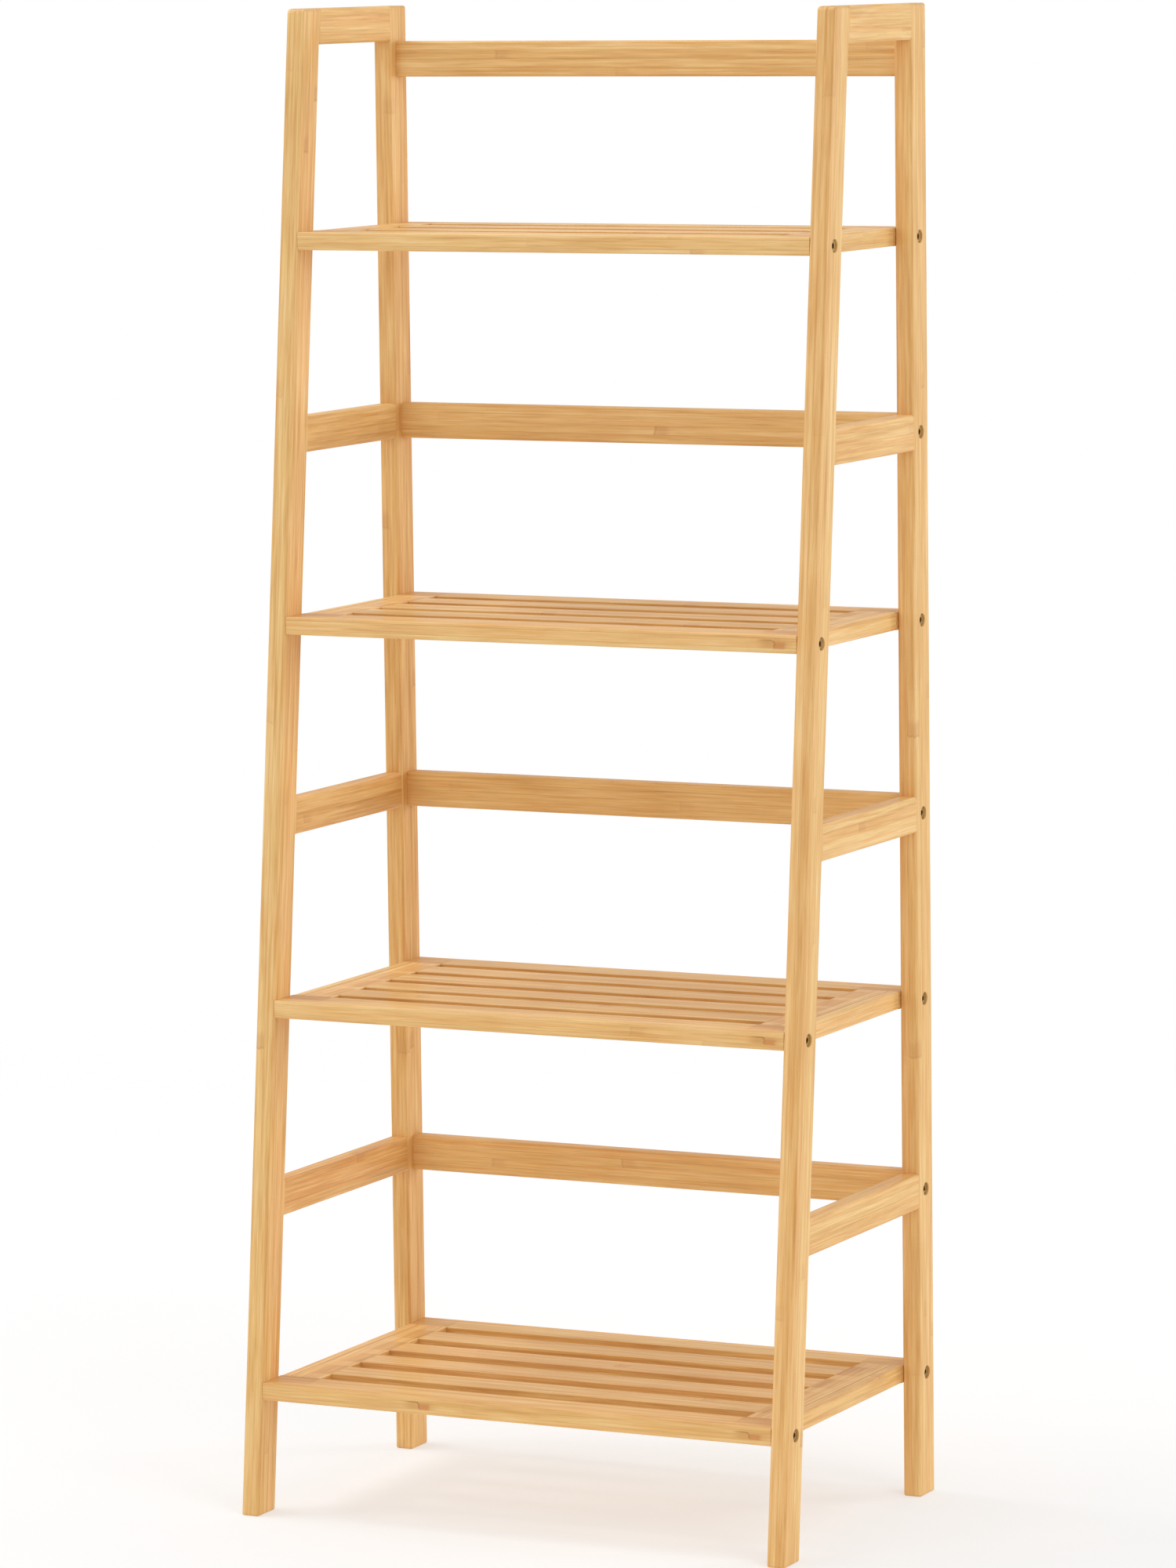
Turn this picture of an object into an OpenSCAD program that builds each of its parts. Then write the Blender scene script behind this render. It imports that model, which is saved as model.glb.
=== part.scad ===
// Four-tier ladder shelf in laminated bamboo.
// Two side frames, each a raked front leg and an upright rear leg joined by four side rails,
// carry four slatted shelves and four back rails. Socket-head screws go through the legs into
// the end grain of the shelves and back rails, and wooden dowels hold the glued joints.
// Origin: middle of the footprint, on the floor. +X is right, -Y is the front, +Z is up.

/* [Overall] */
// Height of the legs
height = 1250; // [1200:5:1300]
// Width over the two side frames
width = 498; // [440:2:600]
// Depth over the legs at the floor
base_depth = 309; // [290:1:330]
// Depth over the legs at the top
top_depth = 184; // [175:1:200]

/* [Side frames] */
// Thickness of the legs and rails
stock_t = 16; // [14:1:20]
// Width of each leg, front to back
leg_w = 30; // [28:1:34]
// Height of every side rail and back rail
rail_h = 30; // [28:1:34]
// Corner cut off the top front of each front leg
leg_top_cut = 3; // [1:0.5:5]

/* [Shelves] */
// Height of the lowest shelf's top face
bottom_shelf_z = 112; // [90:1:130]
// Step from one shelf to the next
shelf_pitch = 318; // [300:1:325]
// Thickness of every shelf board
shelf_t = 15; // [14:1:18]
// Width of the slats and of the front and rear shelf rails
slat_w = 33; // [30:1:34]
// Width of the boards across the ends of the slats
end_board_w = 37; // [32:1:45]
// Number of slats on each shelf, from the bottom up
slat_counts = [4, 4, 3, 2]; // [1:1:5]

/* [Mid rails] */
// Gap from a shelf's top face up to the underside of the rails above it
rail_gap = 134; // [110:1:150]
// Distance of the back rails in from the rear legs' back faces
back_rail_inset = 4; // [3:0.5:5]

/* [Board finish] */
// Chamfer along the arrises of every board
ease = 1; // [0.5:0.25:1.5]
// Length of the stub tenon on each end of a slat
tenon_l = 8; // [6:1:12]
// Thickness of the stub tenon
tenon_t = 6; // [5:0.5:7]
// Shoulder on each side of the stub tenon
tenon_shoulder = 4; // [3:0.5:6]

/* [Connecting screws] */
// Diameter of the screw head
head_d = 10; // [9:0.5:10.5]
// Height of the screw head
head_h = 4; // [3:0.5:4.5]
// Diameter of the counterbore for the head
counterbore_d = 11; // [10.6:0.1:12]
// Depth of the counterbore
counterbore_depth = 5.5; // [5:0.5:6]
// Size of the hexagon socket, across flats
socket_af = 4; // [3:0.5:5]
// Depth of the hexagon socket
socket_depth = 2.5; // [2:0.25:3]
// Diameter of the shank and thread
screw_d = 6; // [5:0.5:6]
// Length of the screw under its head
screw_l = 45; // [40:1:50]

/* [Dowels] */
// Diameter of every dowel
dowel_d = 6; // [5:0.5:6]
// Length of every dowel
dowel_l = 24; // [20:1:26]
// Distance of a pair of dowels from the middle of the joint
dowel_spread = 9; // [8:0.5:10]
// Depth of a dowel in a shelf rail or in the inner face of a leg
short_depth = 10; // [8:0.5:11]

/* [Hidden] */
$fn = 48;
bamboo = [0.87, 0.70, 0.47];
beech = [0.84, 0.72, 0.55];
bronze = [0.36, 0.29, 0.19];
over = 1;                                   // overshoot of every cutting tool

shelf_count = len(slat_counts);
rake = (base_depth - top_depth) / height;   // backward lean of the front legs, per mm of height
rake_angle = atan(rake);
front_leg_y = leg_w / cos(rake_angle);      // level width of a raked leg
back_y = base_depth / 2;
outer_x = width / 2;
inner_x = outer_x - stock_t;
rear_leg_front = back_y - leg_w;
shank_clear_d = screw_d + 0.5;
pilot_depth = screw_l - (stock_t - counterbore_depth) + 2;
back_rail_y = back_y - back_rail_inset - stock_t;
slat_l = 2 * (inner_x - end_board_w);

SIDES = ["left", "right"];

// ---- Levels and positions ----

// Front face of the front legs at height z
function front_y(z) = -back_y + rake * z;

// Back face of the front legs at height z
function front_leg_back(z) = front_y(z) + front_leg_y;

// Top face of shelf k, counted from the bottom
function shelf_z(k) = bottom_shelf_z + shelf_pitch * (k - 1);

// Front face of shelf k, level with the legs at the shelf's top face
function shelf_front(k) = front_y(shelf_z(k));

// Width of the slots of shelf k
function slot_w(k) = (back_y - shelf_front(k) - (slat_counts[k - 1] + 2) * slat_w)
                     / (slat_counts[k - 1] + 1);

// Front edge of board i of shelf k: 0 is the front rail and the last is the rear rail
function board_y(k, i) = shelf_front(k) + i * (slat_w + slot_w(k));

// Underside of side rail k: 1 to 3 above the shelves, 4 at the top of the legs
function rail_z(k) = k == shelf_count ? height - rail_h : shelf_z(k) + rail_gap;

// Underside of the top back rail, just below the top side rails
top_back_rail_z = height - 2 * rail_h;

// Height of the screws that hold shelf k
function shelf_screw_z(k) = shelf_z(k) - shelf_t / 2;

// Screws run along the middle of each leg
rear_screw_y = back_y - leg_w / 2;
function front_screw_y(k) = front_y(shelf_screw_z(k)) + front_leg_y / 2;

// Places of the screws of the right side, as [y, z]
SHELF_SCREWS = [for (k = [1 : shelf_count], y = [front_screw_y(k), rear_screw_y])
                [y, shelf_screw_z(k)]];
BACK_RAIL_SCREWS = [for (k = [1 : shelf_count - 1]) [rear_screw_y, rail_z(k) + rail_h / 2]];

// Dowels in the ends of the back rails, as [y, z]: one above each screw, two at the top
back_dowel_y = back_rail_y + stock_t / 2;
BACK_RAIL_DOWELS = concat(
    [for (k = [1 : shelf_count - 1]) [back_dowel_y, rail_z(k) + rail_h / 2 + dowel_spread]],
    [for (s = [-1, 1]) [back_dowel_y, top_back_rail_z + rail_h / 2 + s * dowel_spread]]);

// Heights of the dowels in the ends of the side rails
SIDE_RAIL_DOWELS = [for (k = [1 : shelf_count], s = [-1, 1])
                    rail_z(k) + rail_h / 2 + s * dowel_spread];

// ---- Shared shapes ----

// Rectangle with its corners chamfered
module eased_rect(w, h)
    polygon([[ease, 0], [w - ease, 0], [w, ease], [w, h - ease],
             [w - ease, h], [ease, h], [0, h - ease], [0, ease]]);

// Board l long in X, w wide in Y and t thick in Z
module board_x(l, w, t)
    rotate([90, 0, 90]) linear_extrude(l) eased_rect(w, t);

// Board w wide in X, l long in Y and t thick in Z
module board_y_long(w, l, t)
    translate([0, l, 0]) rotate([90, 0, 0]) linear_extrude(l) eased_rect(w, t);

// Draws its child on the right as modelled, or on the left as its mirror image
module on_side(side)
    mirror([side == "left" ? 1 : 0, 0, 0]) children();

// Draws its child on both sides
module on_both_sides()
    for (side = SIDES) on_side(side) children();

// Hole along X in a right leg for one screw, with the head's counterbore in the outer face
module leg_screw_hole() {
    translate([inner_x - over, 0, 0]) rotate([0, 90, 0])
        cylinder(d = shank_clear_d, h = stock_t + 2 * over);
    translate([outer_x - counterbore_depth, 0, 0]) rotate([0, 90, 0])
        cylinder(d = counterbore_d, h = counterbore_depth + over);
}

// Pilot hole along X in the right end of a rail
module rail_pilot_hole()
    translate([inner_x - pilot_depth, 0, 0]) rotate([0, 90, 0])
        cylinder(d = screw_d, h = pilot_depth + over);

// One connecting screw, driven in from the right
module screw()
    difference() {
        union() {
            translate([outer_x - counterbore_depth, 0, 0]) rotate([0, 90, 0])
                cylinder(d = head_d, h = head_h);
            translate([outer_x - counterbore_depth - screw_l, 0, 0]) rotate([0, 90, 0])
                cylinder(d = screw_d, h = screw_l + over);
        }
        translate([outer_x - counterbore_depth + head_h - socket_depth, 0, 0])
            rotate([0, 90, 0])
                cylinder(d = socket_af / cos(30), h = socket_depth + over, $fn = 6);
    }

// Dowel along X through the inner face of the right rear leg
module dowel_in_leg()
    translate([inner_x + short_depth - dowel_l, 0, 0]) rotate([0, 90, 0])
        cylinder(d = dowel_d, h = dowel_l);

// Dowel along Y with the joint face at its middle
module dowel_along_y()
    rotate([90, 0, 0]) cylinder(d = dowel_d, h = dowel_l, center = true);

// Dowels of one side frame, at both ends of its side rails
module side_frame_dowels()
    for (z = SIDE_RAIL_DOWELS, y = [front_leg_back(z), rear_leg_front])
        translate([outer_x - stock_t / 2, y, z]) dowel_along_y();

// Dowels at both ends of the right end board of shelf k, set short into the shelf rails
module end_board_dowels(k)
    for (s = [-1, 1]) {
        x = inner_x - end_board_w / 2 + s * dowel_spread;
        offset_y = dowel_l / 2 - short_depth;
        translate([x, board_y(k, 0) + slat_w + offset_y, shelf_screw_z(k)]) dowel_along_y();
        translate([x, board_y(k, slat_counts[k - 1] + 1) - offset_y, shelf_screw_z(k)])
            dowel_along_y();
    }

// Straight length of raked leg stock, w wide, from below the floor to above the top
module raked_stock()
    translate([inner_x, -back_y, 0]) rotate([-rake_angle, 0, 0])
        translate([0, 0, -leg_w]) linear_extrude(height + 3 * leg_w) children();

// ---- Side frames, drawn for the right side ----

module front_leg()
    color(bamboo)
    difference() {
        intersection() {
            raked_stock() eased_rect(stock_t, leg_w);
            translate([inner_x - over, -base_depth, 0])
                cube([stock_t + 2 * over, 2 * base_depth, height]);
        }
        translate([inner_x - over, front_y(height), height - leg_top_cut])
            rotate([45, 0, 0]) translate([0, -leg_w / 2, 0])
                cube([stock_t + 2 * over, leg_w, leg_w]);
        for (p = SHELF_SCREWS) translate([0, p[0], p[1]]) leg_screw_hole();
        side_frame_dowels();
    }

module rear_leg()
    color(bamboo)
    difference() {
        translate([inner_x, rear_leg_front, 0]) linear_extrude(height) eased_rect(stock_t, leg_w);
        for (p = concat(SHELF_SCREWS, BACK_RAIL_SCREWS))
            translate([0, p[0], p[1]]) leg_screw_hole();
        for (p = BACK_RAIL_DOWELS) translate([0, p[0], p[1]]) dowel_in_leg();
        side_frame_dowels();
    }

// Side rail k, with its front end cut to the lean of the front leg
module side_rail(k) {
    z = rail_z(k);
    start_y = front_leg_back(z) - leg_w / 2;
    color(bamboo)
    difference() {
        translate([inner_x, start_y, z]) board_y_long(stock_t, rear_leg_front - start_y, rail_h);
        translate([-over, 0, 0]) raked_stock() square([stock_t + 2 * over, leg_w]);
        side_frame_dowels();
    }
}

// ---- Back rails ----

module back_rail_blank(z)
    translate([-inner_x, back_rail_y, z]) board_x(2 * inner_x, stock_t, rail_h);

module back_rail(k)
    color(bamboo)
    difference() {
        back_rail_blank(rail_z(k));
        on_both_sides() {
            for (p = BACK_RAIL_SCREWS) translate([0, p[0], p[1]]) rail_pilot_hole();
            for (p = BACK_RAIL_DOWELS) translate([0, p[0], p[1]]) dowel_in_leg();
        }
    }

module top_back_rail()
    color(bamboo)
    difference() {
        back_rail_blank(top_back_rail_z);
        on_both_sides()
            for (p = BACK_RAIL_DOWELS) translate([0, p[0], p[1]]) dowel_in_leg();
    }

// ---- Shelves ----

// Full-width board of shelf k: i is 0 for the front rail and last for the rear rail
module shelf_rail(k, i, screw_y)
    color(bamboo)
    difference() {
        translate([-inner_x, board_y(k, i), shelf_z(k) - shelf_t])
            board_x(2 * inner_x, slat_w, shelf_t);
        on_both_sides() {
            translate([0, screw_y, shelf_screw_z(k)]) rail_pilot_hole();
            end_board_dowels(k);
        }
    }

module shelf_front_rail(k) shelf_rail(k, 0, front_screw_y(k));

module shelf_rear_rail(k) shelf_rail(k, slat_counts[k - 1] + 1, rear_screw_y);

// Stub tenon of slat i of shelf k in the right end board
module slat_tenon(k, i)
    translate([slat_l / 2 - over, board_y(k, i) + tenon_shoulder,
               shelf_screw_z(k) - tenon_t / 2])
        cube([tenon_l + over, slat_w - 2 * tenon_shoulder, tenon_t]);

// Right end board of shelf k, mortised for the slats
module shelf_end_board(k)
    color(bamboo)
    difference() {
        translate([inner_x - end_board_w, board_y(k, 0) + slat_w, shelf_z(k) - shelf_t])
            board_y_long(end_board_w,
                         board_y(k, slat_counts[k - 1] + 1) - board_y(k, 0) - slat_w, shelf_t);
        for (i = [1 : slat_counts[k - 1]]) slat_tenon(k, i);
        end_board_dowels(k);
    }

module shelf_slat(k, i)
    color(bamboo) {
        translate([-slat_l / 2, board_y(k, i), shelf_z(k) - shelf_t])
            board_x(slat_l, slat_w, shelf_t);
        on_both_sides() slat_tenon(k, i);
    }

// ---- Fasteners ----

module shelf_screws()
    color(bronze)
    on_both_sides() for (p = SHELF_SCREWS) translate([0, p[0], p[1]]) screw();

module back_rail_screws()
    color(bronze)
    on_both_sides() for (p = BACK_RAIL_SCREWS) translate([0, p[0], p[1]]) screw();

module frame_dowels() color(beech) on_both_sides() side_frame_dowels();

module shelf_dowels()
    color(beech)
    on_both_sides() for (k = [1 : shelf_count]) end_board_dowels(k);

module back_rail_dowels()
    color(beech)
    on_both_sides() for (p = BACK_RAIL_DOWELS) translate([0, p[0], p[1]]) dowel_in_leg();

// ---- Drawing ----

for (s = SIDES) {
    on_side(s) front_leg();
    on_side(s) rear_leg();
    on_side(s) side_rail(shelf_count);
    for (k = [1 : shelf_count - 1])
        on_side(s) side_rail(k);
    for (k = [1 : shelf_count])
        on_side(s) shelf_end_board(k);
}
top_back_rail();
for (k = [1 : shelf_count - 1])
    back_rail(k);
for (k = [1 : shelf_count]) {
    shelf_front_rail(k);
    shelf_rear_rail(k);
    for (i = [1 : slat_counts[k - 1]])
        shelf_slat(k, i);
}
shelf_screws();
back_rail_screws();
frame_dowels();
shelf_dowels();
back_rail_dowels();
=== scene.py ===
"""Looks of the ladder shelf: every bamboo board with rounded arrises, flush joints and its own
laminated grain, and the screws in their recesses, on a pale floor in soft studio light."""

import math

import bpy
from mathutils import Matrix, Vector


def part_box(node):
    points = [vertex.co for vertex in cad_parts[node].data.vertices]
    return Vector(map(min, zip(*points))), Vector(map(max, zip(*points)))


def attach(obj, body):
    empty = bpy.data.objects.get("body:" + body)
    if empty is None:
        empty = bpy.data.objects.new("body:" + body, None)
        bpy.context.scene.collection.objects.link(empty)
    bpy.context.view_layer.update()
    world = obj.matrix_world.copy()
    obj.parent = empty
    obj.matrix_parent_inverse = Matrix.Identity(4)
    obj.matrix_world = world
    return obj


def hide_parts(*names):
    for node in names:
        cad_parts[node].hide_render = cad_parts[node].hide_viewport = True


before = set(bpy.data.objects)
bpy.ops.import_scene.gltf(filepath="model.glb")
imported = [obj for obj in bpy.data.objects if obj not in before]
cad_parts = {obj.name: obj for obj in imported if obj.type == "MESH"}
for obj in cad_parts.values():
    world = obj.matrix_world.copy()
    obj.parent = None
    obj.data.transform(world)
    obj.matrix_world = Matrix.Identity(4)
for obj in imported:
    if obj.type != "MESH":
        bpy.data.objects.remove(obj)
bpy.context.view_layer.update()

MM = 0.001
SIDES = ("left", "right")
SHELVES = 4

# ---- Camera, solved from the photograph's perspective: degrees, metres and millimetres ----
CAMERA_AZIMUTH = 25.358
CAMERA_ELEVATION = 6.905
CAMERA_ROLL = -0.621
CAMERA_POSITION = Vector((2.5145, -5.1329, 1.3147))
CAMERA_SENSOR = 36.0
CAMERA_LENS = 159.28
CAMERA_SHIFT = (-0.0524, -0.0112)
CAMERA_FAR = 100.0

# ---- Boards ----
ARC_STEPS = 5                 # faces round each rounded arris
SHARPEST = 0.05 * MM          # smallest radius that a corner shrinks to
LEG_ROUND = 2.2 * MM          # arrises of the legs and side rails
BACK_RAIL_ROUND = 2.0 * MM
SHELF_ROUND = 1.5 * MM        # outer arrises of a shelf
SHELF_END_ROUND = 0.3 * MM    # where a shelf rail ends at the legs
SLOT_ROUND = 0.9 * MM         # arrises along the slots
FOOT_ROUND = 1.8 * MM
LEG_TOP_ROUND = 4.5 * MM      # top front corner of a front leg
LEG_TOP_SIDE_ROUND = 3.2 * MM
JOINT_ROUND = 0.16 * MM       # where two boards meet flush
FADE = 2.5 * MM               # length over which a rounding stops at a joint
GLUE_SEAM_IN = 9.25 * MM      # glue seam of an end board, in from its outer edge
GLUE_SEAM_W = 0.7 * MM
GLUE_SEAM_DEEP = 0.4 * MM
SHELF_CORE = 8.0 * MM         # the middle ply of a shelf
SHELF_SKIN = 4.2 * MM         # the plies above and below it
SIDE_SKIN = 0.3 * MM          # depth to which a narrow side has its own tone
END_SKIN = 2.5 * MM           # depth over which end grain turns into side grain

# ---- Tones: steps up or down the ramp of bamboo colours, some of them painted shade ----
SHELF_TONE = 0.05
SLOT_SHADE_AND_SAWN_TONE = -0.29             # slot walls, darker: painted shade in the slots, and the sawn edges' own tone
OUTER_TONE = -0.09            # outer edge of an end board
BOARD_TONES_AND_SHADE = {               # boards that are lighter or darker than the rest: their own tone, and painted shade that makes the lower left side rails darker towards the bottom
    "left_rear_leg": -0.09,
    "left_side_rail_1": -0.11,
    "left_side_rail_2": -0.10,
    "left_side_rail_3": -0.05,
    "right_top_rail": 0.07,
    "shelf_1_front_rail": -0.08,
    "shelf_2_right_end": 0.08,
    "shelf_3_right_end": 0.08,
}
END_GRAIN = 0.75              # how strongly a sawn end shows its end grain
END_GRAIN_IN_JOINT = 0.12

# Places along X of the hooks of dark cane nodes in the front face of a shelf
NODE_MARKS = {
    "shelf_1_front_rail": (214 * MM, -86 * MM),
    "shelf_2_front_rail": (216 * MM,),
    "shelf_3_front_rail": (213 * MM,),
}
FAR = 9.0                     # away from every board
SEED_STEP = 0.137             # between the seeds of one board and the next

# ---- Screws ----
COUNTERBORE_R = 5.5 * MM
COUNTERBORE_DEEP = 5.5 * MM
COUNTERBORE_LIP = 0.3 * MM    # chamfer round its mouth
CUTTER_PROUD = 2 * MM         # how far its cutter stands out of the leg
SCREW_APART = 12 * MM         # screws are further apart than this
SHANK_R = 3.0 * MM
SHANK_POINT = 1.2 * MM        # length of its pointed end, and how far that is drawn in
HEAD_H = 4.0 * MM
HEAD_ROUND = 0.7 * MM
HEAD_NECK = 0.4 * MM          # fillet between shank and head
HEAD_UNDER = 0.3 * MM         # chamfer under the head
SOCKET_AF = 4.0 * MM
SOCKET_DEEP = 3.0 * MM
SOCKET_LIP = 0.35 * MM        # chamfer round its mouth
SOCKET_END = (0.6 * MM, 0.2 * MM)   # depth and radius of the drill point below the socket
ROUND_STEPS = 48
SOCKET_TURN = 5               # steps by which each socket is turned from the one before

BOARD_SHARP = 40.0            # degrees between faces that shade as an edge
SCREW_SHARP = 20.0

# Corners of a ring of points, as the signs of its two cross axes, counter-clockwise
CORNERS = ((1, 1), (-1, 1), (-1, -1), (1, -1))
# The two cross axes of a board that runs along X, Y or Z
CROSS = {0: (1, 2), 1: (2, 0), 2: (0, 1)}
JOINT_ENDS = ([JOINT_ROUND] * 4, [JOINT_ROUND] * 4)     # both ends are hidden in joints


def side_inset(radius, depth):
    """How far a side is drawn in at this depth from the end, by a quarter-round of this radius."""
    if depth >= radius:
        return 0.0
    return radius - math.sqrt(max(radius**2 - (radius - depth) ** 2, 0.0))


def end_depths(radii):
    """Depths from the end at which its quarter-rounds need a ring."""
    depths = {0.0}
    for r in radii:
        for i in range(1, ARC_STEPS + 1):
            depths.add(round(r * (1 - math.cos(math.pi / 2 * i / ARC_STEPS)), 7))
    return sorted(depths)


class Board:
    """A board along one axis, drawn as rings of points from its low end to its high end.

    corners: radius of each long arris, in CORNERS order.
    ends: for each end, the radii at the sides (+p, +q, -p, -q).
    tight: (from, to, corner numbers) stretches where an arris is left nearly sharp, for a joint.
    lean: shift of the second cross axis per unit of length, for a raked leg.
    low_slope: shift of the low end per unit of the first cross axis, for a raked cut.
    seam: place of a glue seam across the second cross axis, in the faces square to the first.
    strips: numbers of bamboo strips across the wider and the thinner side.
    shelf: True for a shelf's three plies, a core between planed skins, in a lighter wood.
    side_tones_and_shade: how much lighter the two narrow sides are than the rest, the low one
    first; on slot walls it is painted shade.
    marks: places along the board of dark cane nodes in its front face."""

    def __init__(self, node, axis, lo, hi, corners, ends=JOINT_ENDS, tight=(), lean=0.0,
                 low_slope=0.0, seam=None, strips=(4, 2), shelf=False, side_tones_and_shade=(0.0, 0.0),
                 marks=()):
        self.node, self.axis, self.lo, self.hi = node, axis, lo, hi
        self.corners, self.ends, self.tight = corners, ends, tight
        self.lean, self.low_slope, self.seam = lean, low_slope, seam
        self.strips, self.side_tones_and_shade, self.marks = strips, side_tones_and_shade, marks
        self.p, self.q = CROSS[axis]
        self.length = hi[axis] - lo[axis]
        sizes = sorted((hi[self.p] - lo[self.p], hi[self.q] - lo[self.q]), reverse=True)
        self.wide = sizes[0]
        self.strip_size = [size / count for size, count in zip(sizes, strips)]
        # Each board's own tone, with painted shade on the lower left side rails
        self.ply_shift, self.tone = 0.0, BOARD_TONES_AND_SHADE.get(node, 0.0)
        if shelf:
            self.strip_size[1], self.ply_shift = SHELF_CORE, SHELF_CORE - SHELF_SKIN
            self.tone += SHELF_TONE

    def radii(self, s):
        """Radii of the long arrises at this place along the board, in CORNERS order."""
        found = list(self.corners)
        for start, end, numbers in self.tight:
            gap = max(start - s, s - end, 0.0)
            for n in numbers:
                full = self.corners[n]
                part = JOINT_ROUND + (full - JOINT_ROUND) * min(gap / FADE, 1.0)
                found[n] = min(found[n], part)
        return found

    def ring(self, s, insets, radii):
        """The ring at this place along the board, with its sides (+p, +q, -p, -q) drawn in."""
        p_hi, q_hi = self.hi[self.p] - insets[0], self.hi[self.q] - insets[1]
        p_lo, q_lo = self.lo[self.p] + insets[2], self.lo[self.q] + insets[3]
        middle = ((p_hi + p_lo) / 2, (q_hi + q_lo) / 2)
        half = ((p_hi - p_lo) / 2, (q_hi - q_lo) / 2)
        points = []
        for n, (sp, sq) in enumerate(CORNERS):
            drawn_in = max(insets[0 if sp > 0 else 2], insets[1 if sq > 0 else 3])
            r = max(radii[n] - drawn_in, SHARPEST)
            centre = (middle[0] + sp * (half[0] - r), middle[1] + sq * (half[1] - r))
            for i in range(ARC_STEPS + 1):
                a = math.pi / 2 * (n + i / ARC_STEPS)
                points.append((centre[0] + r * math.cos(a), centre[1] + r * math.sin(a)))
            crosses_seam = self.seam is not None and sq != CORNERS[(n + 1) % 4][1]
            if crosses_seam:
                edge = p_hi if sp > 0 else p_lo
                for along, deep in ((-0.5, 0), (0, 1), (0.5, 0)):
                    points.append((edge - sp * deep * GLUE_SEAM_DEEP,
                                   self.seam - sq * along * GLUE_SEAM_W))
        placed = []
        for p, q in points:
            at = [0.0, 0.0, 0.0]
            at[self.axis], at[self.p], at[self.q] = s, p, q + self.lean * s
            placed.append(at)
        return placed

    def rings(self):
        low, high = self.lo[self.axis], self.hi[self.axis]
        stations = []
        for d in end_depths(self.ends[0]):
            stations.append((low + d, [side_inset(r, d) for r in self.ends[0]]))
        first, last = low + max(self.ends[0]), high - max(self.ends[1])
        breaks = {s for start, end, _ in self.tight
                  for s in (start - FADE, start, end, end + FADE)}
        breaks |= {low + END_SKIN, high - END_SKIN}
        stations += [(s, [0.0] * 4) for s in sorted(breaks) if first < s < last]
        for d in reversed(end_depths(self.ends[1])):
            stations.append((high - d, [side_inset(r, d) for r in self.ends[1]]))
        made = [self.ring(s, insets, self.radii(s)) for s, insets in stations]
        if self.low_slope:
            sloped = len(end_depths(self.ends[0])) + 1      # up to the ring at END_SKIN
            for at in (at for points in made[:sloped] for at in points):
                at[self.axis] += self.low_slope * (at[self.p] - self.lo[self.p])
        return made

    def grain(self, at):
        """Place in the board: along the grain, across its wider side and across its thinner."""
        p = at[self.p] - self.lo[self.p]
        q = at[self.q] - self.lean * at[self.axis] - self.lo[self.q]
        wide_p = self.hi[self.p] - self.lo[self.p] > self.hi[self.q] - self.lo[self.q]
        return (at[self.axis] - self.lo[self.axis], p if wide_p else q, q if wide_p else p)


def add_loft(verts, faces, rings):
    """Adds a skin over rings of points, closed by a face at each end."""
    base, n = len(verts), len(rings[0])
    for ring in rings:
        verts += ring
    faces.append([base + i for i in reversed(range(n))])
    for k in range(len(rings) - 1):
        low = base + k * n
        for i in range(n):
            j = (i + 1) % n
            faces.append([low + i, low + j, low + n + j, low + n + i])
    faces.append([base + (len(rings) - 1) * n + i for i in range(n)])


def new_object(name, verts, faces):
    mesh = bpy.data.meshes.new(name)
    mesh.from_pydata(verts, [], faces)
    mesh.validate()
    ob = bpy.data.objects.new(name, mesh)
    bpy.context.scene.collection.objects.link(ob)
    return ob


def finish_mesh(ob, sharp_angle):
    mesh = ob.data
    mesh.polygons.foreach_set("use_smooth", [True] * len(mesh.polygons))
    mesh.set_sharp_from_angle(angle=math.radians(sharp_angle))
    weighted = ob.modifiers.new("weighted_normals", "WEIGHTED_NORMAL")
    weighted.keep_sharp = True


# ---- Places from the CAD ----
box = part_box


def groups_of(node):
    """Boxes of a node's separate screws, left before right and from the floor up."""
    found = []
    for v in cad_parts[node].data.vertices:
        for lo, hi in found:
            middle = (lo + hi) / 2
            near = (v.co.yz - middle.yz).length < SCREW_APART
            if near and (v.co.x > 0) == (middle.x > 0):
                for i in range(3):
                    lo[i], hi[i] = min(lo[i], v.co[i]), max(hi[i], v.co[i])
                break
        else:
            found.append((v.co.copy(), v.co.copy()))
    return sorted(found, key=lambda b: (b[0].x > 0, round(b[0].z, 4), round(b[0].y, 4)))


SCREWS = {node: groups_of(node) for node in ("shelf_screws", "back_rail_screws")}

leg_lo, leg_hi = box("right_front_leg")
foot = [v.co.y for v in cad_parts["right_front_leg"].data.vertices
        if v.co.z < leg_lo.z + 0.01 * MM]
FRONT_LEG_Y = max(foot) - min(foot)     # a front leg's size along Y
RAKE = (leg_hi.y - max(foot)) / leg_hi.z


# ---- The boards ----
def rails_of(side):
    return [f"{side}_side_rail_{k}" for k in range(1, SHELVES)] + [f"{side}_top_rail"]


def rail_joints(side, corners, top):
    """Stretches of a leg where side rails meet it, the highest one up to the leg's top."""
    spans = [(box(r)[0].z + FADE, box(r)[1].z - FADE) for r in rails_of(side)]
    spans[-1] = (spans[-1][0], top)
    return [(start, end, corners) for start, end in spans]


def spec_front_leg(side):
    node = f"{side}_front_leg"
    lo, hi = box(node)
    lo, hi = lo.copy(), hi.copy()
    hi.y = lo.y + FRONT_LEG_Y
    top = (LEG_TOP_SIDE_ROUND, JOINT_ROUND, LEG_TOP_SIDE_ROUND, LEG_TOP_ROUND)
    return Board(node, 2, lo, hi, [LEG_ROUND] * 4, ([FOOT_ROUND] * 4, top),
                 rail_joints(side, (0, 1), hi.z), lean=RAKE)


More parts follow.
